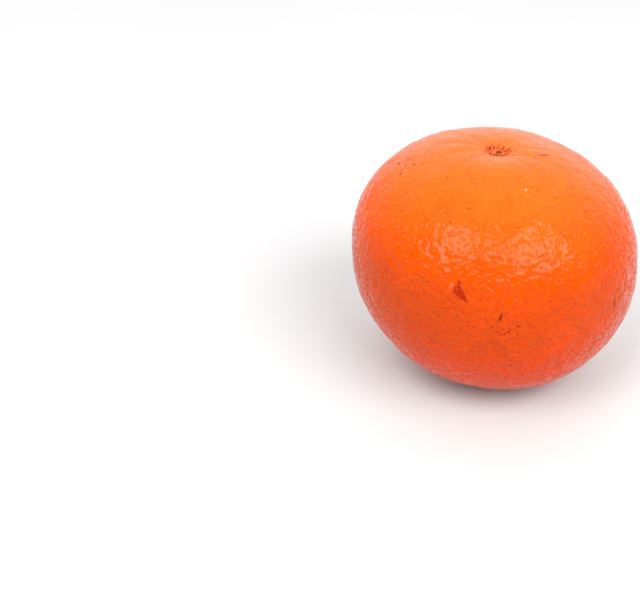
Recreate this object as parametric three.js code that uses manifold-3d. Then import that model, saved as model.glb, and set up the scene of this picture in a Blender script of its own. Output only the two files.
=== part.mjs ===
// A mandarin: one whole fruit that stands on the small flat spot of its blossom end, and the dry
// calyx left at its stem end. Millimetres, +Z up through the stem end, front towards -Y.

import * as THREE from "three";
import { mergeVertices } from "three/addons/utils/BufferGeometryUtils.js";
import loadManifold from "manifold-3d";

const manifold = await loadManifold();
manifold.setup();

// The fruit's body, measured from the middle of its equator.
const DIAMETER = 68;
const CROWN_HEIGHT = 28;
const BASE_HEIGHT = 31.5;
// Roundness of the profile: 2 is an ellipse, and more gives fuller shoulders.
const CROWN_ROUNDNESS = 2.3;
const BASE_ROUNDNESS = 2;
// The fruit grew a little lopsided: its equator falls towards +X, and its crown leans towards -X.
const EQUATOR_FALL = 0.023;
const CROWN_DRIFT = -0.041;
// The hollow at the stem end, and the flat spot that the fruit rests on.
const HOLLOW_DEPTH = 1.2;
const HOLLOW_REACH = 6;
const REST_SPOT_DIAMETER = 18;

// The calyx: a thin star around the scar where the stalk broke off. The scar is a ring with a pit.
const CALYX_SPAN = 7;
const CALYX_LOBES = 5;
const RIM_THICKNESS = 0.2;
const SCAR_DIAMETER = 2.4;
const SCAR_HEIGHT = 0.4;
const SCAR_RING_WIDTH = 0.35;
const SCAR_PIT_DIAMETER = 1.2;
const SCAR_PIT_DEPTH = 0.2;
const SEAT_GAP = 0.3;
// How far the clefts between the lobes reach in, as a share of the distance to the rim.
const LOBE_CLEFT = 0.36;

const FRUIT_SEGMENTS = 72;
const PROFILE_STEPS = 40;
const CALYX_SEGMENTS = 60;

const RADIUS = DIAMETER / 2;
const QUARTER_TURN = Math.PI / 2;
// Points nearer than this are one corner.
const WELD_DISTANCE = 1e-4;

const peelMaterial = new THREE.MeshStandardMaterial({ color: 0xf2660f, roughness: 0.42, metalness: 0 });
const calyxMaterial = new THREE.MeshStandardMaterial({ color: 0x8a5a36, roughness: 0.85, metalness: 0 });

// Height of a rounded dome at a distance from its axis.
function domeHeight(distance, height, roundness) {
  const fullness = 1 - Math.min(distance / RADIUS, 1) ** roundness;
  return height * fullness ** (1 / roundness);
}

// Height of the upper rind, with the hollow at the stem end.
function crownHeight(distance) {
  const hollow = HOLLOW_DEPTH * Math.exp(-((distance / HOLLOW_REACH) ** 2));
  return domeHeight(distance, CROWN_HEIGHT, CROWN_ROUNDNESS) - hollow;
}

// Height of the lower rind.
function baseHeight(distance) {
  return -domeHeight(distance, BASE_HEIGHT, BASE_ROUNDNESS);
}

// A point of the fruit's profile, from -90 degrees at the blossom end to 90 at the stem end.
function profilePoint(latitude) {
  const roundness = latitude > 0 ? CROWN_ROUNDNESS : BASE_ROUNDNESS;
  const across = Math.cos(latitude);
  const along = Math.abs(Math.sin(latitude));
  const distance = (RADIUS * across) / (across ** roundness + along ** roundness) ** (1 / roundness);
  const height = latitude > 0 ? crownHeight(distance) : baseHeight(distance);
  return new THREE.Vector2(distance, height);
}

// Turns a profile, given as distance and height, around the Z axis.
function revolve(profile, segments) {
  return new THREE.LatheGeometry(profile, segments).rotateX(QUARTER_TURN);
}

function makeRind() {
  const profile = [];
  for (let step = 1; step < PROFILE_STEPS; step += 1) {
    profile.push(profilePoint(Math.PI * (step / PROFILE_STEPS) - QUARTER_TURN));
  }
  profile.unshift(new THREE.Vector2(0, baseHeight(0)));
  profile.push(new THREE.Vector2(0, crownHeight(0)));
  return revolve(profile, FRUIT_SEGMENTS);
}

// The calyx as a lathe-turned button, pulled out into lobes and bent to follow the hollow.
function makeCalyx() {
  const rim = CALYX_SPAN / 2;
  const scar = SCAR_DIAMETER / 2;
  const midway = (rim + scar) / 2;
  const pitFloor = SCAR_HEIGHT - SCAR_PIT_DEPTH;
  const profile = [
    new THREE.Vector2(0, 0),
    new THREE.Vector2(scar, 0),
    new THREE.Vector2(midway, 0),
    new THREE.Vector2(rim, 0),
    new THREE.Vector2(rim, RIM_THICKNESS),
    new THREE.Vector2(midway, RIM_THICKNESS),
    new THREE.Vector2(scar, RIM_THICKNESS),
    new THREE.Vector2(scar, SCAR_HEIGHT),
    new THREE.Vector2(scar - SCAR_RING_WIDTH, SCAR_HEIGHT),
    new THREE.Vector2(SCAR_PIT_DIAMETER / 2, pitFloor),
    new THREE.Vector2(0, pitFloor),
  ];
  const geometry = revolve(profile, CALYX_SEGMENTS);
  const position = geometry.getAttribute("position");
  for (let vertex = 0; vertex < position.count; vertex += 1) {
    const x = position.getX(vertex);
    const y = position.getY(vertex);
    const distance = Math.hypot(x, y);
    const cleft = (1 - Math.cos(CALYX_LOBES * Math.atan2(y, x))) / 2;
    const outwards = THREE.MathUtils.smoothstep(distance, scar, rim);
    const pull = 1 - LOBE_CLEFT * cleft * outwards;
    const seat = crownHeight(distance * pull) + SEAT_GAP;
    position.setXYZ(vertex, x * pull, y * pull, position.getZ(vertex) + seat);
  }
  return geometry;
}

// The lopsided growth, then a move that centres the fruit and sinks its underside below Z = 0 by
// as much as the flat spot takes off.
function makeGrowth(rind) {
  const growth = new THREE.Matrix4().set(
    1, 0, CROWN_DRIFT, 0,
    0, 1, 0, 0,
    -EQUATOR_FALL, 0, 1, 0,
    0, 0, 0, 1,
  );
  const grown = rind.clone().applyMatrix4(growth);
  grown.computeBoundingBox();
  const middle = grown.boundingBox.getCenter(new THREE.Vector3());
  const trim = BASE_HEIGHT + baseHeight(REST_SPOT_DIAMETER / 2);
  const settle = new THREE.Matrix4().makeTranslation(-middle.x, -middle.y, -grown.boundingBox.min.z - trim);
  return settle.multiply(growth);
}

// The closed solid of a geometry: its seams are joined and the empty triangles at its poles left out.
function toSolid(geometry) {
  const bare = new THREE.BufferGeometry();
  bare.setAttribute("position", geometry.getAttribute("position"));
  bare.setIndex(geometry.getIndex());
  const joined = mergeVertices(bare, WELD_DISTANCE);
  const corners = joined.getIndex().array;
  const triangles = [];
  for (let start = 0; start < corners.length; start += 3) {
    const triangle = Array.from(corners.slice(start, start + 3));
    if (new Set(triangle).size === 3) {
      triangles.push(...triangle);
    }
  }
  return new manifold.Manifold(new manifold.Mesh({
    numProp: 3,
    vertProperties: Float32Array.from(joined.getAttribute("position").array),
    triVerts: Uint32Array.from(triangles),
  }));
}

function toGeometry(solid) {
  const mesh = solid.getMesh();
  const geometry = new THREE.BufferGeometry();
  geometry.setAttribute("position", new THREE.Float32BufferAttribute(mesh.vertProperties, 3));
  geometry.setIndex(new THREE.Uint32BufferAttribute(mesh.triVerts, 1));
  geometry.computeVertexNormals();
  return geometry;
}

// The rind cut flat where the fruit rests.
function cutRestSpot(rind) {
  const below = manifold.Manifold.cube([DIAMETER, DIAMETER, DIAMETER], true).translate([0, 0, -RADIUS]);
  return toGeometry(toSolid(rind).subtract(below));
}

function addPart(group, name, geometry, material) {
  const mesh = new THREE.Mesh(geometry, material);
  mesh.name = name;
  group.add(mesh);
}

const rind = makeRind();
const growth = makeGrowth(rind);
const group = new THREE.Group();
addPart(group, "fruit", cutRestSpot(rind.applyMatrix4(growth)), peelMaterial);
addPart(group, "calyx", toGeometry(toSolid(makeCalyx().applyMatrix4(growth))), calyxMaterial);

export default group;
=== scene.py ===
"""Looks of a mandarin: the waxy, pored rind, and the dry calyx left at its stem end.

Both are surfaces worked out with numpy. Lengths are in metres. +Z runs up through the stem end, and
-Y is the front. Places on the fruit are given as a turn, in degrees round from the front towards
+X, and a rise, in degrees above the equator.
"""

import logging
import math
from dataclasses import dataclass
from enum import Enum
from typing import Union

import bpy
import numpy as np
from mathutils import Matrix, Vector


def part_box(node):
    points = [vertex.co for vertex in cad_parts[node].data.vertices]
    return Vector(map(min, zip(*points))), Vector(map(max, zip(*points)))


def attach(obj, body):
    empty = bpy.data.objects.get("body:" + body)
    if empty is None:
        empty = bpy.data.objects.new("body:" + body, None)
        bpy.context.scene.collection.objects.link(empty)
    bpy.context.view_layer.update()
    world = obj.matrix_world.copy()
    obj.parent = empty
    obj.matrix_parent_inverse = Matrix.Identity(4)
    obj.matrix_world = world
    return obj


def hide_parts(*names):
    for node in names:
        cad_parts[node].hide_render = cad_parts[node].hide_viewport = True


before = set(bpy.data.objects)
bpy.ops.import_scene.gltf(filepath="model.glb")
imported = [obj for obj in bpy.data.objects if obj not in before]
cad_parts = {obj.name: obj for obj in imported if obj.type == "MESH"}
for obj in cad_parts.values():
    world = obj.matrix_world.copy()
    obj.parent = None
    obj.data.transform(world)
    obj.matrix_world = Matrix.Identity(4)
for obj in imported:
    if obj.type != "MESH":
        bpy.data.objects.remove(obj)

LOG = logging.getLogger("mandarin")
MM = 0.001
GOLDEN_ANGLE = math.pi * (3 - math.sqrt(5))
# Points nearer than this are one corner.
WELD_GAP = 1e-6
# How many points are worked on at a time, to save memory.
BATCH = 2400
# The range that holds most of a noise's values.
MIDDLE_TONES = (0.3, 0.7)
# Lengths of random waves, as shares of their mean length.
WAVE_SPREAD = (0.7, 1.5)
# A direction is taken as upright when its Z is above this.
UPRIGHT = 0.9
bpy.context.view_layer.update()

Socket = bpy.types.NodeSocket
Setting = Union[float, tuple, Socket]


def unit(vectors: np.ndarray) -> np.ndarray:
    """Vectors divided by their own lengths."""
    return vectors / np.linalg.norm(vectors, axis=-1, keepdims=True)


def smooth_step(value: np.ndarray, low: float, high: float) -> np.ndarray:
    """Eased ramp, 3t^2 - 2t^3, from 0 at low to 1 at high.

    Args:
        value: The values to ease.
        low: Where the ramp starts.
        high: Where it ends. It may lie below low.

    Returns:
        Values between 0 and 1.
    """
    share = np.clip((value - low) / (high - low), 0, 1)
    return share * share * (3 - 2 * share)


def cup(distance: np.ndarray, reach: Union[float, np.ndarray]) -> np.ndarray:
    """Round cup, (1 - (d/reach)^2)^2: 1 in the middle, and 0 from reach on."""
    return np.clip(1 - (distance / reach) ** 2, 0, None) ** 2


def bell(distance: np.ndarray, width: float) -> np.ndarray:
    """Bell curve, exp(-(d/width)^2)."""
    return np.exp(-((distance / width) ** 2))


def waves(points: np.ndarray, length: float, seed: int, count: int = 28) -> np.ndarray:
    """Smooth random swell: a sum of plane cosine waves that run in random directions.

    Args:
        points: Where the swell is wanted, one point a row.
        length: Mean wavelength.
        seed: Chooses the directions and the phases.
        count: How many waves are summed.

    Returns:
        One height per point, with a spread of about 1.
    """
    random = np.random.default_rng(seed)
    headings = unit(random.normal(size=(count, 3)))
    lengths = length * random.uniform(*WAVE_SPREAD, count)
    phases = random.uniform(0, 2 * math.pi, count)
    angles = points @ (headings * (2 * math.pi / lengths)[:, None]).T + phases
    return np.cos(angles).sum(axis=1) * math.sqrt(2 / count)


def batches(count: int) -> list[np.ndarray]:
    """Row numbers from 0 to count, in batches that are small enough for memory."""
    return np.array_split(np.arange(count), count // BATCH + 1)


def nearest(points: np.ndarray, seeds: np.ndarray) -> tuple[np.ndarray, np.ndarray]:
    """Finds the nearest seed of each point, from |p|^2 + |s|^2 - 2 p.s, a batch at a time.

    Args:
        points: The points, one a row.
        seeds: The places to choose from, one a row.

    Returns:
        The index of each point's nearest seed, and the distance to it.
    """
    # Millimetres keep the squares within what short floats hold.
    places = (seeds / MM).astype(np.float32)
    squares = (places ** 2).sum(axis=1)
    index = np.empty(len(points), dtype=int)
    for batch in batches(len(points)):
        here = (points[batch] / MM).astype(np.float32)
        index[batch] = (squares - 2 * here @ places.T).argmin(axis=1)
    return index, np.linalg.norm(points - seeds[index], axis=1)


def grid_quads(rows: int, columns: int) -> np.ndarray:
    """The quads of a grid of points that are numbered row by row.

    Args:
        rows: How many rows of points there are.
        columns: How many points a row has.

    Returns:
        The corner numbers of the quads, four a row.
    """
    corner = np.arange(rows * columns).reshape(rows, columns)
    around = (corner[:-1, :-1], corner[1:, :-1], corner[1:, 1:], corner[:-1, 1:])
    return np.stack(around, axis=-1).reshape(-1, 4)


def weld(points: np.ndarray, quads: np.ndarray) -> tuple[np.ndarray, np.ndarray]:
    """Joins points that share a place, so that seams close.

    Args:
        points: The points, one a row, with anything that they carry in further columns.
        quads: Corner numbers, four a row.

    Returns:
        The points that are left, and the quads between them.
    """
    steps = np.round(points / WELD_GAP).astype(np.int64)
    _, first, renumber = np.unique(steps, axis=0, return_index=True, return_inverse=True)
    return points[first], renumber.reshape(-1)[quads]


def blown_cube(cells: int) -> tuple[np.ndarray, np.ndarray]:
    """A cube of six grids of (u, v), blown up to a sphere of radius 1.

    On each side the point is axis + tan(u) across + tan(v) along, for u and v from -45 to 45
    degrees, divided by its length. That keeps the cells nearly alike.

    Args:
        cells: Cells along an edge of the cube.

    Returns:
        Unit directions, and the quads between them, facing out.
    """
    ramp = np.tan(np.linspace(-math.pi / 4, math.pi / 4, cells + 1))
    u, v = np.meshgrid(ramp, ramp, indexing="ij")
    directions = []
    quads = []
    for axis in (0, 1, 2):
        for sign in (1, -1):
            facing = sign * np.eye(3)[axis]
            across = np.eye(3)[(axis + 1) % 3]
            along = np.cross(facing, across)
            side = facing + u[..., None] * across + v[..., None] * along
            quads.append(grid_quads(cells + 1, cells + 1) + len(directions) * u.size)
            directions.append(unit(side).reshape(-1, 3))
    return weld(np.concatenate(directions), np.concatenate(quads))


def toward(turn: np.ndarray, rise: np.ndarray) -> np.ndarray:
    """Unit directions of places on the fruit.

    Args:
        turn: Degrees round from the front towards +X.
        rise: Degrees above the equator.

    Returns:
        One unit vector per place.
    """
    turn, rise = np.radians(turn), np.radians(rise)
    level = np.cos(rise)
    return np.stack((np.sin(turn) * level, -np.cos(turn) * level, np.sin(rise)), axis=-1)


def make_piece(name: str, points: np.ndarray, quads: np.ndarray) -> bpy.types.Object:
    """Puts a worked-out surface into a new object at the origin, shaded smooth.

    Args:
        name: The piece's name.
        points: Its points, one a row.
        quads: Its faces, as corner numbers.

    Returns:
        The object, linked to the scene.
    """
    mesh = bpy.data.meshes.new(name)
    mesh.vertices.add(len(points))
    mesh.vertices.foreach_set("co", points.astype(np.float32).ravel())
    mesh.loops.add(quads.size)
    mesh.loops.foreach_set("vertex_index", quads.astype(np.int32).ravel())
    mesh.polygons.add(len(quads))
    mesh.polygons.foreach_set("loop_start", np.arange(0, quads.size, 4, dtype=np.int32))
    mesh.polygons.foreach_set("use_smooth", np.ones(len(quads), dtype=bool))
    mesh.update(calc_edges=True)
    mesh.validate()
    piece = bpy.data.objects.new(name, mesh)
    bpy.context.scene.collection.objects.link(piece)
    return piece


class Layer(Enum):
    """What a piece's surface carries for its finish. Each face knows its own gland and mark."""

    GLAND_CENTRE = "gland_centre"
    GLAND_SIZE = "gland_size"
    MARK_CENTRE = "mark_centre"
    MARK_ALONG = "mark_along"
    MARK_ACROSS = "mark_across"
    MARK_TAPER = "mark_taper"
    MARK_TINT = "mark_tint"
    MARK_STRENGTH = "mark_strength"
    EDGE = "edge"
    VEIN = "vein"
    RING = "ring"
    SCAR = "scar"

    @property
    def domain(self) -> str:
        """Whether the layer is kept per face or per point."""
        return "FACE" if self.value.startswith(("gland", "mark")) else "POINT"

    @property
    def output(self) -> str:
        """The output of an Attribute node that reads it."""
        return "Vector" if self.value.endswith(("centre", "along", "across")) else "Fac"


def paint(piece: bpy.types.Object, layer: Layer, values: np.ndarray) -> None:
    """Stores one number or vector per point, or per face, for a finish to read.

    Args:
        piece: The piece.
        layer: What the values mean.
        values: One row per point or face, as the layer says.
    """
    kind = "FLOAT_VECTOR" if values.ndim == 2 else "FLOAT"
    field = "vector" if values.ndim == 2 else "value"
    attribute = piece.data.attributes.new(layer.value, kind, layer.domain)
    attribute.data.foreach_set(field, values.astype(np.float32).ravel())


class Wiring:
    """The nodes of a material or of the surroundings, added and wired one call at a time."""

    def __init__(self, owner: Union[bpy.types.Material, bpy.types.World]) -> None:
        """Clears the owner's nodes away.

        Args:
            owner: What the nodes belong to.
        """
        owner.use_nodes = True
        self.owner = owner
        self.tree = owner.node_tree
        self.tree.nodes.clear()

    def plug(self, socket: Socket, value: Setting) -> None:
        """Gives a socket its value.

        Args:
            socket: The input socket.
            value: A number or colour, or another node's output to link.
        """
        if isinstance(value, Socket):
            self.tree.links.new(value, socket)
        else:
            socket.default_value = value

    def node(self, kind: str, inputs: dict[Union[str, int], Setting], **options: object) -> bpy.types.Node:
        """Adds a node.

        Args:
            kind: The node's type, without its ShaderNode start.
            inputs: What goes into its sockets: a value, or another node's output.
            **options: The node's own settings.

        Returns:
            The node.
        """
        made = self.tree.nodes.new("ShaderNode" + kind)
        for option, value in options.items():
            setattr(made, option, value)
        for socket, value in inputs.items():
            self.plug(made.inputs[socket], value)
        return made

    def layer(self, layer: Layer) -> Socket:
        """A layer of the piece's surface."""
        return self.node("Attribute", {}, attribute_name=layer.value).outputs[layer.output]

    def place(self) -> Socket:
        """Where a point lies on the piece, in metres."""
        return self.node("TexCoord", {}).outputs["Object"]

    def maths(self, operation: str, first: Setting, second: Setting = 0.0) -> Socket:
        """Works on one or two numbers.

        Args:
            operation: The Math node's operation.
            first: The first number.
            second: The second number, where there is one.

        Returns:
            The result.
        """
        return self.node("Math", {0: first, 1: second}, operation=operation).outputs[0]

    def total(self, *terms: Setting) -> Socket:
        """The numbers' sum.

        Args:
            *terms: Two numbers or more.

        Returns:
            The sum.
        """
        result = terms[0]
        for term in terms[1:]:
            result = self.maths("ADD", result, term)
        return result

    def times(self, first: Setting, second: Setting) -> Socket:
        """The product of two numbers."""
        return self.maths("MULTIPLY", first, second)

    def vectors(self, operation: str, first: Setting, second: Setting) -> Socket:
        """Works on two vectors.

        Args:
            operation: The Vector Math node's operation.
            first: The first vector.
            second: The second vector.

        Returns:
            The result: a number for DISTANCE and DOT_PRODUCT, and a vector for the rest.
        """
        made = self.node("VectorMath", {0: first, 1: second}, operation=operation)
        number = operation in ("DISTANCE", "DOT_PRODUCT")
        return made.outputs["Value" if number else "Vector"]

    def ramp(self, value: Setting, low: float, high: float, start: float = 0.0, end: float = 1.0) -> Socket:
        """Eased ramp.

        Args:
            value: What climbs the ramp.
            low: Where the ramp starts. It may lie above high.
            high: Where it ends.
            start: The result up to low.
            end: The result from high on.

        Returns:
            The result.
        """
        inputs = {"Value": value, "From Min": low, "From Max": high, "To Min": start, "To Max": end}
        return self.node("MapRange", inputs, interpolation_type="SMOOTHSTEP").outputs["Result"]

    def noise(self, grain: float, detail: float = 2.0, warp: float = 0.0) -> Socket:
        """Cloudy noise from 0 to 1.

        Args:
            grain: About how wide its patches are, in metres.
            detail: How many finer layers it has.
            warp: How much it is stirred.

        Returns:
            The noise.
        """
        inputs = {"Vector": self.place(), "Scale": 1 / grain, "Detail": detail, "Distortion": warp}
        return self.node("TexNoise", inputs).outputs["Fac"]

    def blend(self, share: Setting, under: Setting, over: Setting) -> Socket:
        """Lays one colour over another.

        Args:
            share: How much of the upper colour shows.
            under: The lower colour.
            over: The upper colour.

        Returns:
            The mixed colour.
        """
        made = self.node("Mix", {}, data_type="RGBA")
        colours = [socket for socket in made.inputs if socket.type == "RGBA"]
        self.plug(made.inputs["Factor"], share)
        self.plug(colours[0], under)
        self.plug(colours[1], over)
        return next(socket for socket in made.outputs if socket.type == "RGBA")

    def finish(self, shader: bpy.types.Node) -> bpy.types.Material:
        """Sends the shader to a material's surface.

        Args:
            shader: The shader.

        Returns:
            The material.
        """
        self.node("OutputMaterial", {"Surface": shader.outputs[0]})
        return self.owner


@dataclass(frozen=True)
class FruitForm:
    """The smooth shape of the fruit, without pores or lumps.

    A section through the axis is half of |x/radius|^n + |z/height|^n = 1, with a height and a
    roundness n of its own above and below the equator. A soft hollow is taken from the stem end,
    the whole is sheared a little, as the fruit grew, and its underside is pressed flat.
    """

    radius: float = 34 * MM
    crown_height: float = 28 * MM
    base_height: float = 31.5 * MM
    crown_roundness: float = 2.3
    base_roundness: float = 2.0
    equator_fall: float = 0.023
    crown_drift: float = -0.041
    hollow_depth: float = 1.2 * MM
    hollow_reach: float = 6 * MM
    rest_spot_radius: float = 9 * MM
    rest_edge: float = 0.45 * MM
    # Heights between which the rind comes free of the rest spot, and distances from the stem end.
    rest_margin: tuple = (-0.2 * MM, 3 * MM)
    stem_margin: tuple = (2.5 * MM, 8 * MM)
    slope_step: float = 1e-4

    @property
    def lift(self) -> float:
        """Height of the equator's middle above the surface that the fruit rests on."""
        lowest = math.hypot(self.base_height, self.equator_fall * self.radius)
        pressed = self.base_height * (1 - math.sqrt(1 - (self.rest_spot_radius / self.radius) ** 2))
        return lowest - pressed

    def before_rest(self, directions: np.ndarray) -> np.ndarray:
        """The grown shape before its underside is pressed flat.

        Args:
            directions: Unit directions from the middle of the equator.

        Returns:
            One point per direction.
        """
        rise = directions[:, 2]
        upper = rise > 0
        roundness = np.where(upper, self.crown_roundness, self.base_roundness)
        height = np.where(upper, self.crown_height, self.base_height)
        level = np.hypot(directions[:, 0], directions[:, 1])
        spread = (level ** roundness + np.abs(rise) ** roundness) ** (-1 / roundness)
        distance = self.radius * spread * level
        hollow = self.hollow_depth * bell(distance, self.hollow_reach)
        x = self.radius * spread * directions[:, 0]
        y = self.radius * spread * directions[:, 1]
        z = height * spread * rise - np.where(upper, hollow, 0)
        return np.stack((x + self.crown_drift * z, y, z - self.equator_fall * x + self.lift), axis=1)

    def surface(self, directions: np.ndarray) -> np.ndarray:
        """The resting shape: heights go through (z + sqrt(z^2 + edge^2)) / 2, which stops them at 0.

        Args:
            directions: Unit directions from the middle of the equator.

        Returns:
            One point per direction.
        """
        points = self.before_rest(directions)
        z = points[:, 2]
        points[:, 2] = (z + np.sqrt(z * z + self.rest_edge ** 2)) / 2
        return points

    def normals(self, directions: np.ndarray) -> np.ndarray:
        """Outward unit normals: the cross product of central differences along two tangents.

        Args:
            directions: Unit directions.

        Returns:
            One unit vector per direction.
        """
        helper = np.where(np.abs(directions[:, 2:]) < UPRIGHT, (0.0, 0.0, 1.0), (0.0, 1.0, 0.0))
        first = unit(np.cross(helper, directions))
        second = np.cross(directions, first)
        slopes = []
        for tangent in (first, second):
            ahead = self.surface(unit(directions + self.slope_step * tangent))
            behind = self.surface(unit(directions - self.slope_step * tangent))
            slopes.append(ahead - behind)
        return unit(np.cross(*slopes))

    def free_share(self, directions: np.ndarray) -> np.ndarray:
        """How free the rind is to swell: 1 on the sides, and 0 on the rest spot and at the calyx.

        Args:
            directions: Unit directions.

        Returns:
            One share per direction.
        """
        points = self.before_rest(directions)
        off_rest = smooth_step(points[:, 2], *self.rest_margin)
        off_axis = np.linalg.norm(points - self.stem_end, axis=1)
        return off_rest * smooth_step(off_axis, *self.stem_margin)

    @property
    def stem_end(self) -> np.ndarray:
        """The middle of the hollow, where the calyx sits."""
        return self.before_rest(np.array([[0.0, 0.0, 1.0]]))[0]


@dataclass(frozen=True)
class BoxFit:
    """A stretch along X, Y and Z that carries one box exactly onto another."""

    start: np.ndarray
    end: np.ndarray
    scale: np.ndarray

    @classmethod
    def between(cls, points: np.ndarray, low: np.ndarray, high: np.ndarray) -> "BoxFit":
        """Works out the stretch that brings some points' own box onto another.

        Args:
            points: The points, one a row.
            low: The other box's lowest corner.
            high: Its highest corner.

        Returns:
            The stretch.
        """
        first, last = points.min(axis=0), points.max(axis=0)
        return cls(first, low, (high - low) / (last - first))

    def apply(self, points: np.ndarray) -> np.ndarray:
        """The points after the stretch."""
        return self.end + (points - self.start) * self.scale


@dataclass(frozen=True)
class OilGlands:
    """The glands of the rind, each a small pit.

    They follow a spiral of golden-angle steps, which spreads them evenly, and each has wandered off
    a little and has a size of its own.
    """

    spacing: float = 1.5 * MM
    wander: float = 0.3
    reach: float = 0.64 * MM
    depth: float = 0.09 * MM
    size_range: tuple = (0.65, 1.1)
    seed: int = 11

    def directions(self, form: FruitForm) -> np.ndarray:
        """Where the glands are.

        Args:
            form: The fruit that they grow on.

        Returns:
            One unit direction per gland.
        """
        mean_radius = (form.radius * 2 + form.lift) / 3
        hexagon = self.spacing ** 2 * math.sqrt(3) / 2
        count = int(4 * math.pi * mean_radius ** 2 / hexagon)
        order = np.arange(count)
        rise = 1 - (2 * order + 1) / count
        level = np.sqrt(1 - rise ** 2)
        turn = order * GOLDEN_ANGLE
        spiral = np.stack((level * np.cos(turn), level * np.sin(turn), rise), axis=1)
        random = np.random.default_rng(self.seed)
        drift = random.normal(size=spiral.shape) * self.wander * self.spacing / mean_radius
        return unit(spiral + drift)

    def sizes(self, count: int) -> np.ndarray:
        """Reach of each gland's pit: the usual reach times a random share within the size range.

        Args:
            count: How many glands there are.

        Returns:
            One reach per gland.
        """
        random = np.random.default_rng(self.seed + 1)
        return self.reach * random.uniform(*self.size_range, count)


class Tint(Enum):
    """What a blemish is made of."""

    SPECK = 0.0
    SCAR = 0.5
    CORK = 1.0


@dataclass(frozen=True)
class Mark:
    """One blemish of the rind: an oval, length along its lean and width across it.

    The lean is in degrees, clockwise from upright as seen from outside. The taper is how much
    wider the oval is at the end that it leans to than in its middle, as a share.
    """

    turn: float
    rise: float
    length: float
    width: float
    lean: float = 0.0
    taper: float = 0.0
    depth: float = 0.0
    tint: Tint = Tint.SPECK
    strength: float = 1.0


# The single blemishes, by where they are.
MARKS = (
    # A torn pit in front, a little left, that narrows to its lower right, with a raised lip. The pit's dark
    # red is partly the wound's own colour and partly painted shade in its hollow, and the lip's faint pale
    # tint is a painted highlight.
    Mark(-10.0, 16.0, 5.0 * MM, 2.0 * MM, lean=-45, taper=0.8, depth=0.22 * MM, tint=Tint.SCAR),
    Mark(-11.0, 20.0, 2.6 * MM, 0.9 * MM, lean=-10, depth=0.06 * MM, tint=Tint.SCAR),
    # Painted highlight: the faint pale tint on the raised lip.
    Mark(-14.0, 19.0, 1.7 * MM, 1.4 * MM, depth=-0.22 * MM, tint=Tint.CORK, strength=0.06),
    # A slit below it, a dash on the right side, and one on the crown.
    Mark(5.0, 8.0, 2.8 * MM, 0.75 * MM, lean=15, taper=-0.5, depth=0.08 * MM),
    Mark(55.0, 4.0, 2.6 * MM, 1.1 * MM, lean=10, depth=0.1 * MM),
    Mark(90.0, 72.0, 3.2 * MM, 0.95 * MM, lean=-25, taper=-0.3),
    # A pale fleck on the crown.
    Mark(25.0, 62.0, 1.1 * MM, 0.9 * MM, tint=Tint.CORK, strength=0.3),
    # The stylar scar at the blossom end: a corky dot, and a dark crescent beside it.
    Mark(0.0, -90.0, 1.1 * MM, 1.1 * MM, depth=-0.15 * MM, tint=Tint.CORK),
    Mark(0.0, -87.6, 0.5 * MM, 1.5 * MM, depth=0.12 * MM, tint=Tint.SCAR),
    # Wear on the sides and the back.
    Mark(128.0, 24.0, 4.0 * MM, 0.5 * MM, lean=50, depth=0.05 * MM, tint=Tint.SCAR, strength=0.8),
    Mark(171.0, -6.0, 1.8 * MM, 1.3 * MM, lean=20, depth=0.12 * MM, tint=Tint.SCAR, strength=0.8),
    Mark(-121.0, 12.0, 2.2 * MM, 0.45 * MM, lean=-30, depth=0.05 * MM, tint=Tint.SCAR),
    Mark(-150.0, 40.0, 1.0 * MM, 0.8 * MM, tint=Tint.CORK, strength=0.5),
)


@dataclass(frozen=True)
class Patch:
    """A loose group of small dark blemishes, scattered at random about one place.

    Each lies within half_turn and half_rise of that place, in degrees. Its length is a random share
    of the largest, and the slenderness is how wide it may be for its length.
    """

    turn: float
    rise: float
    half_turn: float
    half_rise: float
    count: int
    largest: float
    slenderness: float
    seed: int
    length_range: tuple = (0.6, 1.0)
    width_range: tuple = (0.8, 1.0)

    def marks(self) -> list[Mark]:
        """Draws the group.

        Returns:
            One mark per blemish.
        """
        random = np.random.default_rng(self.seed)
        turns = self.turn + self.half_turn * random.uniform(-1, 1, self.count)
        rises = self.rise + self.half_rise * random.uniform(-1, 1, self.count)
        lengths = self.largest * random.uniform(*self.length_range, self.count)
        widths = lengths * self.slenderness * random.uniform(*self.width_range, self.count)
        leans = random.uniform(0, 180, self.count)
        rows = zip(turns, rises, lengths, widths, leans)
        return [Mark(t, r, long, wide, lean=lean) for t, r, long, wide, lean in rows]


PATCHES = (
    # Scuffs on the left shoulder, dots below the slit, and lower down.
    Patch(-78.0, 53.0, 8.0, 4.0, count=7, largest=1.9 * MM, slenderness=0.5, seed=31),
    Patch(6.0, 0.0, 6.0, 4.0, count=8, largest=0.9 * MM, slenderness=0.8, seed=32),
    Patch(10.0, -17.0, 3.0, 3.0, count=2, largest=0.9 * MM, slenderness=0.8, seed=33),
    # Dots on the shoulder, and beside the calyx.
    Patch(15.0, 54.0, 55.0, 10.0, count=16, largest=0.75 * MM, slenderness=0.9, seed=34),
    Patch(70.0, 84.0, 35.0, 1.0, count=3, largest=0.9 * MM, slenderness=0.9, seed=35),
)


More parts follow.
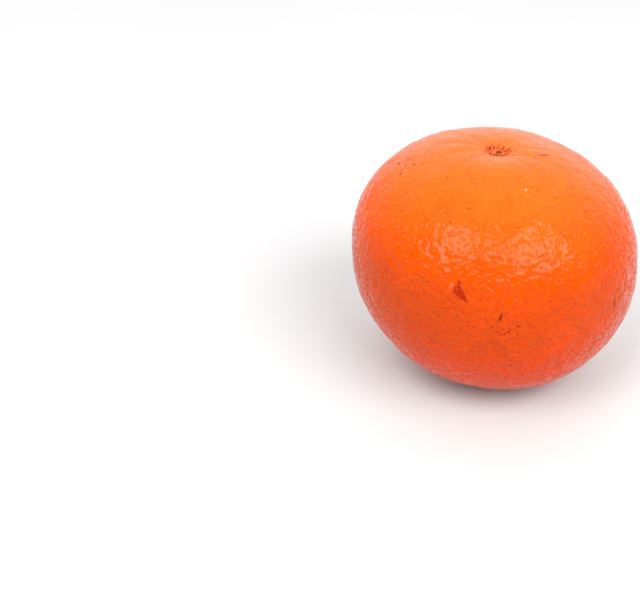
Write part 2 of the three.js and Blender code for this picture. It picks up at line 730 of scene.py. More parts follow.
@dataclass(frozen=True)
class Specks:
    """Fine dark specks, scattered at random and gathered in loose clusters."""

    count: int = 900
    clusters: int = 70
    cluster_spread: float = 0.13
    loose_share: float = 0.35
    # A spread of 5 radii leaves nothing of the cluster.
    loose_spread: float = 5.0
    largest: float = 0.5 * MM
    length_range: tuple = (0.35, 1.0)
    # Raised to this, most lengths are short.
    length_power: float = 1.5
    width_range: tuple = (0.6, 1.0)
    strength_range: tuple = (0.45, 1.0)
    seed: int = 23

    def marks(self) -> list[Mark]:
        """Draws the specks.

        Returns:
            One mark per speck.
        """
        random = np.random.default_rng(self.seed)
        hubs = unit(random.normal(size=(self.clusters, 3)))
        around = hubs[random.integers(0, self.clusters, self.count)]
        loose = random.uniform(size=self.count) < self.loose_share
        spread = np.where(loose, self.loose_spread, self.cluster_spread)[:, None]
        places = unit(around + random.normal(size=around.shape) * spread)
        turns = np.degrees(np.arctan2(places[:, 0], -places[:, 1]))
        rises = np.degrees(np.arcsin(places[:, 2]))
        lengths = self.largest * random.uniform(*self.length_range, self.count) ** self.length_power
        widths = lengths * random.uniform(*self.width_range, self.count)
        leans = random.uniform(0, 180, self.count)
        strengths = random.uniform(*self.strength_range, self.count)
        rows = zip(turns, rises, lengths, widths, leans, strengths)
        return [Mark(t, r, long, wide, lean=lean, strength=s) for t, r, long, wide, lean, s in rows]


class MarkSet:
    """All the marks of the rind as whole arrays, placed on its surface."""

    # How far a mark is felt through the fruit.
    thickness = 3 * MM
    # How many ovals from its middle a mark leaves the rind to the specks.
    hold = 1.6

    def __init__(self, blemishes: list[Mark], specks: list[Mark], form: FruitForm) -> None:
        """Gathers the marks.

        Args:
            blemishes: The marks that stand out.
            specks: The fine marks that fill in between them.
            form: The fruit that they are on.
        """
        marks = blemishes + specks
        self.stand_out = len(blemishes)
        turns = np.array([m.turn for m in marks])
        self.directions = toward(turns, np.array([m.rise for m in marks]))
        self.half_length = np.array([m.length for m in marks]) / 2
        self.half_width = np.array([m.width for m in marks]) / 2
        self.taper = np.array([m.taper for m in marks])
        self.depth = np.array([m.depth for m in marks])
        self.tint = np.array([m.tint.value for m in marks])
        self.strength = np.array([m.strength for m in marks])
        lean = np.radians([m.lean for m in marks])[:, None]
        turn = np.radians(turns)
        right = np.stack((np.cos(turn), np.sin(turn), np.zeros_like(turn)), axis=1)
        self.normal = form.normals(self.directions)
        up = unit(np.cross(self.normal, right))
        right = np.cross(up, self.normal)
        self.along = np.cos(lean) * up + np.sin(lean) * right
        self.across = np.cross(self.along, self.normal)

    def oval_distance(self, points: np.ndarray, places: np.ndarray, least: float) -> np.ndarray:
        """How far points lie from each mark that stands out, counted in half lengths and widths.

        A tapered mark's half width is multiplied by 1 + taper t, where t runs from -1 to 1 along it.

        Args:
            points: The points, one a row.
            places: The marks' middles on the same surface.
            least: Half widths below this are taken as this, so that coarse cells still feel them.

        Returns:
            A table with a row per point and a column per mark: 1 is the mark's edge.
        """
        some = slice(self.stand_out)
        half_length = np.maximum(self.half_length[some], least)[:, None]
        half_width = np.maximum(self.half_width[some], least)[:, None]
        gaps = points[:, None, :] - places[None, some, :]
        along = (gaps * (self.along[some] / half_length)).sum(axis=2)
        across = (gaps * (self.across[some] / half_width)).sum(axis=2)
        across /= 1 + self.taper[some] * np.clip(along, -1, 1)
        through = (gaps * self.normal[some]).sum(axis=2) / self.thickness
        return np.sqrt(along ** 2 + across ** 2 + through ** 2)

    def own_mark(self, points: np.ndarray, places: np.ndarray, least: float) -> np.ndarray:
        """Finds the mark that each point belongs to: one that stands out, or else the nearest speck.

        Args:
            points: The points, one a row.
            places: The marks' middles on the same surface.
            least: As for oval_distance.

        Returns:
            One index per point.
        """
        ovals = self.oval_distance(points, places, least)
        speck, _ = nearest(points, places[self.stand_out:])
        return np.where(ovals.min(axis=1) < self.hold, ovals.argmin(axis=1), self.stand_out + speck)


@dataclass
class Rind:
    """The fruit itself, from its rind's lumps down to its oil glands."""

    form: FruitForm
    glands: OilGlands
    marks: MarkSet
    cells: int = 127
    lump_height: float = 0.08 * MM
    lump_length: float = 26 * MM
    swell_height: float = 0.04 * MM
    swell_length: float = 8 * MM
    pebble_height: float = 0.035 * MM
    pebble_length: float = 3.2 * MM
    furrows: int = 11
    furrow_depth: float = 0.09 * MM
    furrow_bend: float = 1.3
    furrow_bend_length: float = 30 * MM
    # Distances from the stem end between which furrows start, furrows end, pebbles start and dents start.
    furrow_start: tuple = (3 * MM, 8 * MM)
    furrow_end: tuple = (20 * MM, 9 * MM)
    pebble_start: tuple = (4 * MM, 26 * MM)
    dent_start: tuple = (2 * MM, 24 * MM)
    # Glands that the calyx covers are this small.
    calyx_cover: float = 3.2 * MM
    covered_gland: float = 0.02 * MM
    # Faces farther than this past a mark's sizes don't show it.
    mark_margin: float = 1 * MM
    # Coarse cells feel no mark that is narrower than this.
    least_dent: float = 0.45 * MM
    least_face: float = 0.2 * MM

    def skin(self, directions: np.ndarray) -> np.ndarray:
        """The form with its swells: cosine waves of three lengths, and furrows at the stem end.

        Furrows are -depth (1/2 + 1/2 cos(number turn))^3, bent by a long wave.

        Args:
            directions: Unit directions.

        Returns:
            One point per direction.
        """
        points = self.form.surface(directions)
        free = self.form.free_share(directions)
        off_stem = np.linalg.norm(points - self.form.stem_end, axis=1)
        shoulder = smooth_step(off_stem, *self.pebble_start)
        swell = self.lump_height * waves(points, self.lump_length, seed=1)
        swell += self.swell_height * waves(points, self.swell_length, seed=2)
        swell += self.pebble_height * waves(points, self.pebble_length, seed=3) * shoulder
        turn = np.arctan2(directions[:, 1], directions[:, 0])
        bend = self.furrow_bend * waves(points, self.furrow_bend_length, seed=4)
        furrows = 0.5 + 0.5 * np.cos(self.furrows * turn + bend)
        reach = smooth_step(off_stem, *self.furrow_start) * smooth_step(off_stem, *self.furrow_end)
        swell -= self.furrow_depth * reach * furrows ** 3
        return points + self.form.normals(directions) * (free * swell)[:, None]

    def dents(self, points: np.ndarray, glands: np.ndarray, marks: np.ndarray) -> np.ndarray:
        """How deep the rind is pressed in: a round cup at each gland, and an oval one at each mark.

        Args:
            points: The points of the rind, one a row.
            glands: The glands' places on it.
            marks: The marks' places on it.

        Returns:
            One depth per point.
        """
        sizes = self.glands.sizes(len(glands))
        own, gap = nearest(points, glands)
        bare = smooth_step(np.linalg.norm(points - self.form.stem_end, axis=1), *self.dent_start)
        depth = self.glands.depth * sizes[own] / self.glands.reach * cup(gap, sizes[own]) * bare
        for batch in batches(len(points)):
            gaps = self.marks.oval_distance(points[batch], marks, self.least_dent)
            depth[batch] += (self.marks.depth[:self.marks.stand_out] * cup(gaps, 1.0)).sum(axis=1)
        return depth

    def build(self, finish: bpy.types.Material) -> bpy.types.Object:
        """Makes the rind's mesh and stands it for the fruit's CAD solid.

        Args:
            finish: The rind's material.

        Returns:
            The piece.
        """
        directions, quads = blown_cube(self.cells)
        smooth = self.skin(directions)
        glands = self.skin(self.glands.directions(self.form))
        marks = self.skin(self.marks.directions)
        depth = self.dents(smooth, glands, marks)
        points = smooth - self.form.normals(directions) * depth[:, None]
        low, high = (np.array(corner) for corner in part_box("fruit"))
        fit = BoxFit.between(points, low, high)
        points = fit.apply(points)
        piece = make_piece("rind", points, quads)
        middles = points[quads].mean(axis=1)
        self.paint_glands(piece, middles, fit.apply(glands))
        self.paint_marks(piece, middles, fit.apply(marks))
        piece.data.materials.append(finish)
        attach(piece, "root")
        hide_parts("fruit")
        return piece

    def paint_glands(self, piece: bpy.types.Object, middles: np.ndarray, places: np.ndarray) -> None:
        """Gives each face the place and the size of its nearest gland.

        Args:
            piece: The rind.
            middles: The middles of its faces.
            places: The glands' places on it.
        """
        own, _ = nearest(middles, places)
        covered = np.linalg.norm(places - self.form.stem_end, axis=1) < self.calyx_cover
        shown = np.where(covered, self.covered_gland, self.glands.sizes(len(places)))
        paint(piece, Layer.GLAND_CENTRE, places[own])
        paint(piece, Layer.GLAND_SIZE, shown[own])

    def paint_marks(self, piece: bpy.types.Object, middles: np.ndarray, places: np.ndarray) -> None:
        """Gives each face the place, the axes and the kind of the mark that it belongs to, if any.

        Args:
            piece: The rind.
            middles: The middles of its faces.
            places: The marks' places on it.
        """
        marks = self.marks
        own = np.empty(len(middles), dtype=int)
        for batch in batches(len(middles)):
            own[batch] = marks.own_mark(middles[batch], places, self.least_face)
        gap = np.linalg.norm(middles - places[own], axis=1)
        touched = gap < marks.half_length[own] + marks.half_width[own] + self.mark_margin
        paint(piece, Layer.MARK_CENTRE, places[own])
        paint(piece, Layer.MARK_ALONG, marks.along[own] / marks.half_length[own][:, None])
        paint(piece, Layer.MARK_ACROSS, marks.across[own] / marks.half_width[own][:, None])
        paint(piece, Layer.MARK_TAPER, marks.taper[own])
        paint(piece, Layer.MARK_TINT, marks.tint[own])
        paint(piece, Layer.MARK_STRENGTH, marks.strength[own] * touched)


@dataclass(frozen=True)
class Clouding:
    """Cloudy noise eased to a share: least up to the noise's low value, and most from its high one on."""

    grain: float
    detail: float
    low: float
    high: float
    least: float = 0.0
    most: float = 1.0

    def share(self, wire: Wiring) -> Socket:
        """The share at each place."""
        return wire.ramp(wire.noise(self.grain, self.detail), self.low, self.high, self.least, self.most)


@dataclass(frozen=True)
class RindFinish:
    """Waxy orange skin: redder low down, yellower on the crown, with darker glands and blemishes. Its
    brightness from base to crown is partly painted light: the crown is lighter, as if lit from above, and
    the base lighter than the flank, as painted fill in the shade near the floor.
    """

    # crown, flank and base hold the rind's own hue and painted light: the crown is painted about twice as
    # light as the flank, as if lit from above, and the base lighter than the flank, as painted fill in the
    # shade near the floor.
    crown: tuple = (0.8, 0.1, 0.002, 1)
    flank: tuple = (0.43, 0.046, 0.0005, 1)
    base: tuple = (0.71, 0.048, 0.0005, 1)
    gland: tuple = (0.46, 0.02, 0.0003, 1)
    speck: tuple = (0.2, 0.012, 0.0002, 1)
    scar: tuple = (0.27, 0.013, 0.0003, 1)
    cork: tuple = (0.75, 0.42, 0.22, 1)
    wax: tuple = (1.0, 0.94, 0.82, 1)
    # The noise that shifts the colours up and down, by this share of the height.
    cloud_grain: float = 18 * MM
    cloud_lift: float = 0.35
    # Shares of the height: the base's colour ends, the flank's is whole, the crown's is whole.
    bands: tuple = (0.25, 0.75, 1.3)
    blotches: Clouding = Clouding(3.5 * MM, 3, 0.35, 0.8, most=0.22)
    flecks: Clouding = Clouding(0.9 * MM, 3, 0.4, 0.75, most=0.3)
    # How strongly the glands show, by the cloud, and how they fade towards the crown.
    pore_clouds: tuple = (0.3, 0.6, 0.2, 0.5)
    pore_fade: tuple = (0.7, 1.1, 1.0, 0.2)
    gland_edge: tuple = (0.95, 0.1)
    mark_edge: tuple = (1.1, 0.6)
    # A tapered mark never gets narrower than this share of its width.
    least_taper: float = 0.1
    mark_raggedness: Clouding = Clouding(0.5 * MM, 2, 0.2, 0.8, -0.18, 0.18)
    # Roughness of the wax, and what a blemish adds to it.
    wax_roughness: Clouding = Clouding(1.2 * MM, 2, *MIDDLE_TONES, 0.08, 0.16)
    mark_roughness: float = 0.1
    gland_bump: float = 0.1 * MM
    pebble_bump: float = 0.4 * MM
    pebble_grain: float = 1.9 * MM
    grain_bump: float = 0.006 * MM
    grain: float = 0.35 * MM
    # Shares of the height between which the relief grows from faint to full.
    relief_fade: tuple = (0.98, 0.75)
    faint_relief: float = 0.3

    def make(self, height: float) -> bpy.types.Material:
        """Builds the material.

        Args:
            height: The fruit's height, which the colours climb along.

        Returns:
            The material.
        """
        wire = Wiring(bpy.data.materials.new("rind"))
        gland = self.gland_share(wire)
        mark = self.mark_share(wire)
        inputs = {
            "Base Color": wire.blend(mark, self.skin_colour_and_painted_light(wire, gland, height), self.mark_colour(wire)),
            "Roughness": self.gloss(wire, mark),
            "Normal": self.relief(wire, gland, height),
            "IOR": 1.45,
            "Specular IOR Level": 0.15,
            "Specular Tint": self.wax,
            "Subsurface Weight": 0.12,
            "Subsurface Radius": (1.0, 0.3, 0.08),
            "Subsurface Scale": 1.2 * MM,
        }
        return wire.finish(wire.node("BsdfPrincipled", inputs))

    def skin_colour_and_painted_light(self, wire: Wiring, gland: Socket, height: float) -> Socket:
        """The colour of whole skin, which climbs from base to crown and is clouded and flecked. The climb
        holds painted light: the crown is painted lighter, as if lit from above, and the base lighter than
        the flank, against the shade near the floor.

        Args:
            wire: The material's nodes.
            gland: Where the glands are.
            height: The fruit's height.

        Returns:
            The colour.
        """
        up = wire.node("SeparateXYZ", {0: wire.place()}).outputs["Z"]
        cloud = wire.noise(self.cloud_grain, 3)
        level = wire.total(up, wire.times(cloud, self.cloud_lift * height))
        level = wire.maths("DIVIDE", level, height)
        # Painted light: these bands lighten the crown, as if lit from above, and lighten the base against
        # the shade near the floor.
        bottom, middle, top = self.bands
        low = wire.blend(wire.ramp(level, bottom, middle), self.base, self.flank)
        skin = wire.blend(wire.ramp(level, middle, top), low, self.crown)
        skin = wire.blend(self.blotches.share(wire), skin, self.base)
        skin = wire.blend(self.flecks.share(wire), skin, self.gland)
        pores = wire.times(wire.ramp(cloud, *self.pore_clouds), wire.ramp(level, *self.pore_fade))
        return wire.blend(wire.times(gland, pores), skin, self.gland)

    def gloss(self, wire: Wiring, mark: Socket) -> Socket:
        """Roughness: uneven wax, and duller blemishes.

        Args:
            wire: The material's nodes.
            mark: Where the blemishes are.

        Returns:
            The roughness.
        """
        return wire.total(self.wax_roughness.share(wire), wire.times(mark, self.mark_roughness))

    def relief(self, wire: Wiring, gland: Socket, height: float) -> Socket:
        """The finest relief: gland pits, small pebbles and grain, all fainter on the crown.

        Args:
            wire: The material's nodes.
            gland: Where the glands are.
            height: The fruit's height.

        Returns:
            The bumped normal.
        """
        pits = wire.times(gland, -self.gland_bump)
        pebbles = wire.times(wire.noise(self.pebble_grain, 1), self.pebble_bump)
        grain = wire.times(wire.noise(self.grain, 2), self.grain_bump)
        up = wire.node("SeparateXYZ", {0: wire.place()}).outputs["Z"]
        high, low = (share * height for share in self.relief_fade)
        strength = wire.ramp(up, high, low, self.faint_relief, 1.0)
        heights = wire.times(wire.total(pits, pebbles, grain), strength)
        return wire.node("Bump", {"Height": heights, "Distance": 1.0, "Strength": 1.0}).outputs[0]

    def gland_share(self, wire: Wiring) -> Socket:
        """Finds the glands.

        Args:
            wire: The material's nodes.

        Returns:
            1 in the middle of a gland, and 0 from its reach on.
        """
        gap = wire.vectors("DISTANCE", wire.place(), wire.layer(Layer.GLAND_CENTRE))
        return wire.ramp(wire.maths("DIVIDE", gap, wire.layer(Layer.GLAND_SIZE)), *self.gland_edge)

    def mark_share(self, wire: Wiring) -> Socket:
        """Finds the blemishes: ovals that taper and have a ragged edge.

        Args:
            wire: The material's nodes.

        Returns:
            How much of a blemish shows.
        """
        gap = wire.vectors("SUBTRACT", wire.place(), wire.layer(Layer.MARK_CENTRE))
        along = wire.vectors("DOT_PRODUCT", gap, wire.layer(Layer.MARK_ALONG))
        across = wire.vectors("DOT_PRODUCT", gap, wire.layer(Layer.MARK_ACROSS))
        width = wire.total(wire.times(along, wire.layer(Layer.MARK_TAPER)), 1.0)
        across = wire.maths("DIVIDE", across, wire.maths("MAXIMUM", width, self.least_taper))
        squares = wire.total(wire.maths("POWER", along, 2.0), wire.maths("POWER", across, 2.0))
        oval = wire.total(wire.maths("SQRT", squares), self.mark_raggedness.share(wire))
        return wire.times(wire.ramp(oval, *self.mark_edge), wire.layer(Layer.MARK_STRENGTH))

    def mark_colour(self, wire: Wiring) -> Socket:
        """The colour of a blemish, by its tint.

        Args:
            wire: The material's nodes.

        Returns:
            The colour.
        """
        tint = wire.layer(Layer.MARK_TINT)
        dark = wire.blend(wire.ramp(tint, Tint.SPECK.value, Tint.SCAR.value), self.speck, self.scar)
        return wire.blend(wire.ramp(tint, Tint.SCAR.value, Tint.CORK.value), dark, self.cork)


@dataclass
class Calyx:
    """The dry calyx: a thin star of torn lobes, around the ring and pit of the stalk's scar.

    Its sheet is a disc of (x, y) places, drawn out to a star, once for the top and once for the
    underside, which meet at the rim.
    """

    form: FruitForm
    cells: int = 120
    lobes: int = 5
    first_lobe: float = 0.65
    # How far each lobe reaches, round from the first one: those in front are torn short.
    lobe_sizes: tuple = (0.9, 0.9, 1.0, 0.3, 0.4)
    tips: tuple = (-0.6, 0.0, 0.6)
    tip: float = 4.1 * MM
    notch: float = 2.3 * MM
    tip_width: float = 0.5
    tip_power: float = 1.2
    # Sine waves round the rim and round the scar's ring, each as a number, a phase and a height.
    rim_ripples: tuple = ((17, 1.0, 0.5), (31, 2.0, 0.3), (53, 0.0, 0.3))
    rim_raggedness: float = 0.05
    knobs: tuple = ((7, 0.0, 0.25), (12, 1.0, 0.2))
    edge_width: float = 0.4 * MM
    vein_width: float = 0.22 * MM
    vein_bend: float = 0.09
    vein_bend_length: float = 1.6 * MM
    vein_height: float = 0.08 * MM
    thickness: float = 0.13 * MM
    sink: float = 0.04 * MM
    curl: float = 0.22 * MM
    crumple_height: float = 0.03 * MM
    crumple_length: float = 0.9 * MM
    # Distances from the axis between which veins, crumples and curls start.
    vein_start: tuple = (1.1 * MM, 1.6 * MM)
    crumple_start: tuple = (1.2 * MM, 2 * MM)
    curl_start: tuple = (1.8 * MM, 3.5 * MM)
    # A high power keeps the sheet's thickness up to close by its rim.
    rim_power: int = 12
    scar_place: tuple = (0.5 * MM, -0.5 * MM)
    ring: float = 1.0 * MM
    ring_width: float = 0.26 * MM
    ring_height: float = 0.2 * MM
    # The ring's stain, as a share of the ring's width.
    ring_stain: float = 1.3
    stubs: int = 9
    stub_place: float = 0.5 * MM
    stub_width: float = 0.14 * MM
    stub_height: float = 0.12 * MM
    # Dark spots, as a place and half sizes: the pit, and what is left of a bract in front of it.
    pit: tuple = (0.5 * MM, -0.35 * MM, 0.65 * MM, 0.9 * MM)
    bract: tuple = (0.4 * MM, -2.2 * MM, 0.6 * MM, 0.5 * MM)
    # A spot fades out between these shares of its half sizes.
    spot_edge: tuple = (1.2, 0.8)
    # Ranges of what is drawn at random for each lobe.
    side_tips: tuple = (0.35, 1.0)
    middle_tips: tuple = (0.75, 1.0)
    tip_shifts: tuple = (-0.12, 0.12)
    lean_range: tuple = (-0.16, 0.16)
    curl_range: tuple = (-0.2, 1.0)
    seed: int = 5

    def __post_init__(self) -> None:
        """Draws what is particular to each lobe: its tips, its lean and its curl."""
        random = np.random.default_rng(self.seed)
        shape = (self.lobes, len(self.tips))
        self.lengths = random.uniform(*self.side_tips, shape)
        self.lengths[:, len(self.tips) // 2] = random.uniform(*self.middle_tips, self.lobes)
        self.lengths *= np.array(self.lobe_sizes)[:, None]
        self.places = np.array(self.tips) + random.uniform(*self.tip_shifts, shape)
        self.leans = random.uniform(*self.lean_range, self.lobes)
        self.curls = random.uniform(*self.curl_range, self.lobes)

    def lobe_of(self, turn: np.ndarray) -> tuple[np.ndarray, np.ndarray]:
        """Finds the lobe that a direction belongs to.

        Args:
            turn: Angles about the axis, in radians from +X.

        Returns:
            The lobe's number, and the angle off its middle as a share of its half width.
        """
        place = (turn - self.first_lobe) * self.lobes / (2 * math.pi)
        lobe = np.round(place).astype(int) % self.lobes
        off = (place - np.round(place)) * 2 - self.leans[lobe]
        return lobe, np.clip(off, -1, 1)

    def outline(self, turn: np.ndarray) -> np.ndarray:
        """Distance of the rim: the farthest of the lobe's tips, each a spike (1 - gap/width)^power.

        Args:
            turn: Angles about the axis, in radians.

        Returns:
            One distance per angle.
        """
        lobe, off = self.lobe_of(turn)
        gaps = np.abs(off[:, None] - self.places[lobe]) / self.tip_width
        spikes = self.lengths[lobe] * np.clip(1 - gaps, 0, 1) ** self.tip_power
        ragged = 1 + self.rim_raggedness * self.ripple(turn, self.rim_ripples)
        return (self.notch + (self.tip - self.notch) * spikes.max(axis=1)) * ragged

    def ripple(self, turn: np.ndarray, parts: tuple) -> np.ndarray:
        """A sum of sine waves round the axis, height sin(number turn + phase)."""
        return sum(height * np.sin(number * turn + phase) for number, phase, height in parts)

    def veins(self, turn: np.ndarray, reach: np.ndarray) -> np.ndarray:
        """Lines of one width from the scar to every tip: a bell of the distance from the line.

        Args:
            turn: Angles about the axis, in radians.
            reach: Distances from the axis.

        Returns:
            1 on a line and 0 off it.
        """
        flat = self.flat_places(turn, reach)
        bend = self.vein_bend * waves(flat, self.vein_bend_length, seed=9)
        lobe, off = self.lobe_of(turn + bend)
        gaps = np.abs(off[:, None] - self.places[lobe]).min(axis=1) * math.pi / self.lobes * reach
        return bell(gaps, self.vein_width) * smooth_step(reach, *self.vein_start)

    def flat_places(self, turn: np.ndarray, reach: np.ndarray) -> np.ndarray:
        """The points (reach cos turn, reach sin turn, 0).

        Args:
            turn: Angles about the axis, in radians.
            reach: Distances from the axis.

        Returns:
            One point a row.
        """
        return np.stack((reach * np.cos(turn), reach * np.sin(turn), np.zeros_like(reach)), axis=1)

    def disc(self) -> tuple[np.ndarray, np.ndarray]:
        """A square grid (u, v) bent to a disc: x = u sqrt(1 - v^2/2), y = v sqrt(1 - u^2/2).

        Returns:
            The x of every grid point, and the y, both from -1 to 1.
        """
        ramp = np.linspace(-1, 1, self.cells + 1)
        u, v = np.meshgrid(ramp, ramp, indexing="ij")
        return (u * np.sqrt(1 - v * v / 2)).ravel(), (v * np.sqrt(1 - u * u / 2)).ravel()

    def spot(self, flat: np.ndarray, place: tuple) -> np.ndarray:
        """An oval spot with a soft edge.

        Args:
            flat: The places, from the middle of the hollow.
            place: The spot's middle and its half sizes along X and Y.

        Returns:
            1 inside and 0 outside.
        """
        middle, half = np.array(place[:2]), np.array(place[2:])
        distance = np.linalg.norm((flat[:, :2] - middle) / half, axis=1)
        return smooth_step(distance, *self.spot_edge)

    def scar_relief(self, flat: np.ndarray) -> tuple[np.ndarray, np.ndarray]:
        """The stalk's scar: a knobbly ring, with the stubs of the stalk's strands inside it.

        Args:
            flat: The places, from the middle of the hollow.

        Returns:
            The scar's height, and the distance from its middle.
        """
        x, y = flat[:, 0] - self.scar_place[0], flat[:, 1] - self.scar_place[1]
        off_scar = np.hypot(x, y)
        around = np.arctan2(y, x)
        knobs = 1 + self.ripple(around, self.knobs)
        ring = self.ring_height * knobs * bell(off_scar - self.ring, self.ring_width)
        strands = (0.5 + 0.5 * np.cos(self.stubs * around)) ** 2
        stubs = self.stub_height * strands * bell(off_scar - self.stub_place, self.stub_width)
        return ring + stubs, off_scar

    def build(self, finish: bpy.types.Material) -> bpy.types.Object:
        """Makes the calyx's mesh and stands it for its CAD solid.

        Args:
            finish: The calyx's material.

        Returns:
            The piece.
        """
        x, y = self.disc()
        share = np.hypot(x, y)
        turn = np.arctan2(y, x)
        rim = self.outline(turn)
        reach = share * rim
        lobe, _ = self.lobe_of(turn)
        flat = self.flat_places(turn, reach)
        scar, off_scar = self.scar_relief(flat)
        vein = self.veins(turn, reach)
        crumple = self.crumple_height * waves(flat, self.crumple_length, seed=8)
        crumple *= smooth_step(reach, *self.crumple_start)
        curl = self.curl * self.curls[lobe] * smooth_step(reach, *self.curl_start)
        thickness = self.thickness + scar + self.vein_height * vein + np.abs(crumple)
        # The top comes down to the underside at the rim.
        thickness *= 1 - share ** self.rim_power
        bottom = self.seat(flat) + np.maximum(curl + crumple * share, 0) - self.sink
        under = np.column_stack((flat[:, :2], bottom))
        top = np.column_stack((flat[:, :2], bottom + thickness))
        layers = {
            Layer.EDGE: smooth_step(rim - reach, self.edge_width, self.edge_width / 3),
            Layer.VEIN: vein,
            Layer.RING: bell(off_scar - self.ring, self.ring_stain * self.ring_width),
            Layer.SCAR: np.maximum(self.spot(flat, self.pit), self.spot(flat, self.bract)),
        }
        quads = grid_quads(self.cells + 1, self.cells + 1)
        both = np.concatenate((quads, quads[:, ::-1] + len(top)))
        values = np.stack([np.tile(layer, 2) for layer in layers.values()], axis=1)
        packed = np.column_stack((np.concatenate((top, under)) + self.foot, values))
        joined, both = weld(packed, both)
        piece = make_piece("calyx_star", joined[:, :3], both)
        for layer, column in zip(layers, joined[:, 3:].T):
            paint(piece, layer, column)
        piece.data.materials.append(finish)
        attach(piece, "root")
        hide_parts("calyx")
        return piece

    @property
    def foot(self) -> np.ndarray:
        """Where the star's own origin lies: the middle of the hollow, level with the resting surface."""
        return np.array((self.form.stem_end[0], self.form.stem_end[1], 0.0))

    def seat(self, flat: np.ndarray) -> np.ndarray:
        """Height of the rind under places around the axis: the form's dome, less its hollow.

        Args:
            flat: The places, from the middle of the hollow.

        Returns:
            One height per place.
        """
        form = self.form
        distance = np.hypot(flat[:, 0], flat[:, 1])
        fullness = 1 - (distance / form.radius) ** form.crown_roundness
        dome = form.crown_height * fullness ** (1 / form.crown_roundness)
        hollow = form.hollow_depth * bell(distance, form.hollow_reach)
        return dome - hollow - form.equator_fall * flat[:, 0] + form.lift


@dataclass(frozen=True)
class CalyxFinish:
    """Dry papery sepal: the lobes nearly as orange as the rind, their edges and veins red-brown."""

    sheet: tuple = (0.62, 0.085, 0.022, 1)
    pale: tuple = (0.5, 0.1, 0.03, 1)
    ring: tuple = (0.36, 0.12, 0.04, 1)
    brown: tuple = (0.21, 0.026, 0.005, 1)
    pit: tuple = (0.14, 0.03, 0.001, 1)
    patch_grain: float = 0.8 * MM
    fibre_grain: float = 0.22 * MM
    fibre_warp: float = 0.5
    fibre_bump: float = 0.04 * MM
    # How far fibres and patches shift the edges of the colours.
    fray: float = 0.2
    # Where each colour starts and is whole, on what it climbs.
    pale_edge: tuple = (0.35, 0.65)
    brown_edge: tuple = (0.2, 0.6)
    ring_edge: tuple = (0.4, 0.6)
    fibre_roughness: tuple = (0.2, 0.8, 0.6, 0.9)

    def make(self) -> bpy.types.Material:
        """Builds the material.

        Returns:
            The material.
        """
        wire = Wiring(bpy.data.materials.new("calyx"))
        patches = wire.noise(self.patch_grain, 3)
        fibres = wire.noise(self.fibre_grain, 3, self.fibre_warp)
        skin = wire.blend(wire.ramp(patches, *self.pale_edge), self.sheet, self.pale)
        lines = wire.maths("MAXIMUM", wire.layer(Layer.EDGE), wire.layer(Layer.VEIN))
        ragged = wire.total(lines, wire.ramp(fibres, *MIDDLE_TONES, -self.fray, self.fray))
        skin = wire.blend(wire.ramp(ragged, *self.brown_edge), skin, self.brown)
        broken_ring = wire.times(wire.layer(Layer.RING), wire.ramp(patches, *self.ring_edge))
        skin = wire.blend(broken_ring, skin, self.ring)
        pitted = wire.total(wire.layer(Layer.SCAR), wire.ramp(patches, *MIDDLE_TONES, -self.fray, self.fray))
        skin = wire.blend(wire.ramp(pitted, *MIDDLE_TONES), skin, self.pit)
        heights = wire.times(fibres, self.fibre_bump)
        bump = wire.node("Bump", {"Height": heights, "Distance": 1.0, "Strength": 1.0})
        inputs = {
            "Base Color": skin,
            "Roughness": wire.ramp(fibres, *self.fibre_roughness),
            "Normal": bump.outputs[0],
            "IOR": 1.4,
            "Specular IOR Level": 0.06,
        }
        return wire.finish(wire.node("BsdfPrincipled", inputs))


@dataclass(frozen=True)
class Floor:
    """A wide, plain, pale surface that the fruit rests on."""

    half_width: float = 6.0
    cells: int = 24
    cloud_grain: float = 0.2
    pale: tuple = (0.46, 0.46, 0.46, 1)
    shade: tuple = (0.45, 0.45, 0.45, 1)

    def build(self) -> bpy.types.Object:
        """Makes the floor at height 0.

        Returns:
            The floor.
        """
        ramp = np.linspace(-self.half_width, self.half_width, self.cells + 1)
        x, y = np.meshgrid(ramp, ramp, indexing="ij")
        points = np.stack((x.ravel(), y.ravel(), np.zeros(x.size)), axis=1)
        floor = make_piece("floor", points, grid_quads(self.cells + 1, self.cells + 1))
        wire = Wiring(bpy.data.materials.new("floor"))
        clouds = wire.ramp(wire.noise(self.cloud_grain, 2), *MIDDLE_TONES)
        inputs = {"Base Color": wire.blend(clouds, self.pale, self.shade), "Roughness": 0.9, "IOR": 1.3}
        floor.data.materials.append(wire.finish(wire.node("BsdfPrincipled", inputs)))
        return floor


@dataclass(frozen=True)
class Softbox:
    """A rectangular diffused lamp that faces the fruit. Its radiance is in watts per m2 per steradian."""

    name: str
    heading: tuple
    distance: float
    width: float
    height: float
    radiance: float

    def build(self, target: Vector) -> bpy.types.Object:
        """Hangs the lamp.

        Args:
            target: The point that it faces.

        Returns:
            The lamp.
        """
        lamp = bpy.data.lights.new(self.name, "AREA")
        lamp.shape = "RECTANGLE"
        lamp.size = self.width
        lamp.size_y = self.height
        lamp.energy = self.radiance * math.pi * self.width * self.height
        piece = bpy.data.objects.new(self.name, lamp)
        heading = Vector(self.heading).normalized()
        piece.location = target + heading * self.distance
        piece.rotation_euler = (-heading).to_track_quat("-Z", "Y").to_euler()
        bpy.context.scene.collection.objects.link(piece)
        return piece


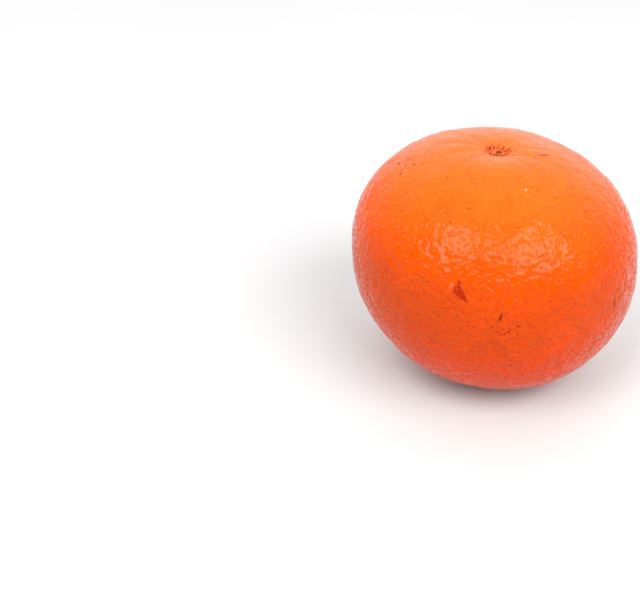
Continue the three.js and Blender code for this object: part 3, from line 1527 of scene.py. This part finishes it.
@dataclass(frozen=True)
class Studio:
    """White surroundings that are brightest behind and overhead, two softboxes, and the camera."""

    distance: float = 0.3
    elevation: float = 30.0
    aim: tuple = (-37.7 * MM, -27.0 * MM)
    lens: float = 69.45
    sensor_width: float = 36.0
    sky_axis: tuple = (-0.05, 0.75, 0.66)
    sky_start: float = -0.15
    sky_dark: float = 0.1
    sky_bright: float = 2.1
    softboxes: tuple = (
        Softbox("softbox_left", (-0.39, -0.6, 0.68), 1.5, 0.74, 1.12, 9.8),
        Softbox("softbox_right", (0.52, -0.52, 0.67), 1.5, 1.28, 0.84, 9.8),
    )

    def build(self, form: FruitForm) -> None:
        """Lights the scene and sets the camera, which looks past the fruit's left side.

        Args:
            form: The fruit, whose middle the camera keeps its distance from.
        """
        middle = Vector((0, 0, form.lift))
        for softbox in self.softboxes:
            softbox.build(middle)
        self.light_sky()
        bpy.context.scene.view_settings.view_transform = "Standard"
        slope = math.radians(self.elevation)
        data = bpy.data.cameras.new("camera")
        data.sensor_width = self.sensor_width
        data.lens = self.lens
        data.clip_start = 1 * MM
        camera = bpy.data.objects.new("camera", data)
        camera.location = middle + self.distance * Vector((0, -math.cos(slope), math.sin(slope)))
        aim = middle + Vector((*self.aim, 0))
        camera.rotation_euler = (aim - camera.location).to_track_quat("-Z", "Y").to_euler()
        bpy.context.scene.collection.objects.link(camera)
        bpy.context.scene.camera = camera

    def light_sky(self) -> None:
        """Lights the surroundings: an eased ramp of the heading's dot product with the sky's axis."""
        world = bpy.data.worlds.new("surroundings")
        wire = Wiring(world)
        heading = wire.node("TexCoord", {}).outputs["Generated"]
        climb = wire.vectors("DOT_PRODUCT", heading, self.sky_axis)
        strength = wire.ramp(climb, self.sky_start, 1.0, self.sky_dark, self.sky_bright)
        light = wire.node("Background", {"Strength": strength})
        wire.node("OutputWorld", {"Surface": light.outputs[0]})
        bpy.context.scene.world = world


def report(piece: bpy.types.Object) -> None:
    """Logs a piece's name and how many faces it has."""
    LOG.info("%s: %d faces", piece.name, len(piece.data.polygons))


def main() -> None:
    """Builds the rind, the calyx and the studio, in that order."""
    logging.basicConfig(level=logging.INFO, format="%(name)s: %(message)s")
    form = FruitForm()
    low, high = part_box("fruit")
    rind_finish = RindFinish().make(high.z - low.z)
    groups = [mark for patch in PATCHES for mark in patch.marks()]
    marks = MarkSet(list(MARKS) + groups, Specks().marks(), form)
    report(Rind(form, OilGlands(), marks).build(rind_finish))
    report(Calyx(form).build(CalyxFinish().make()))
    report(Floor().build())
    Studio().build(form)


if __name__ == "__main__":
    main()
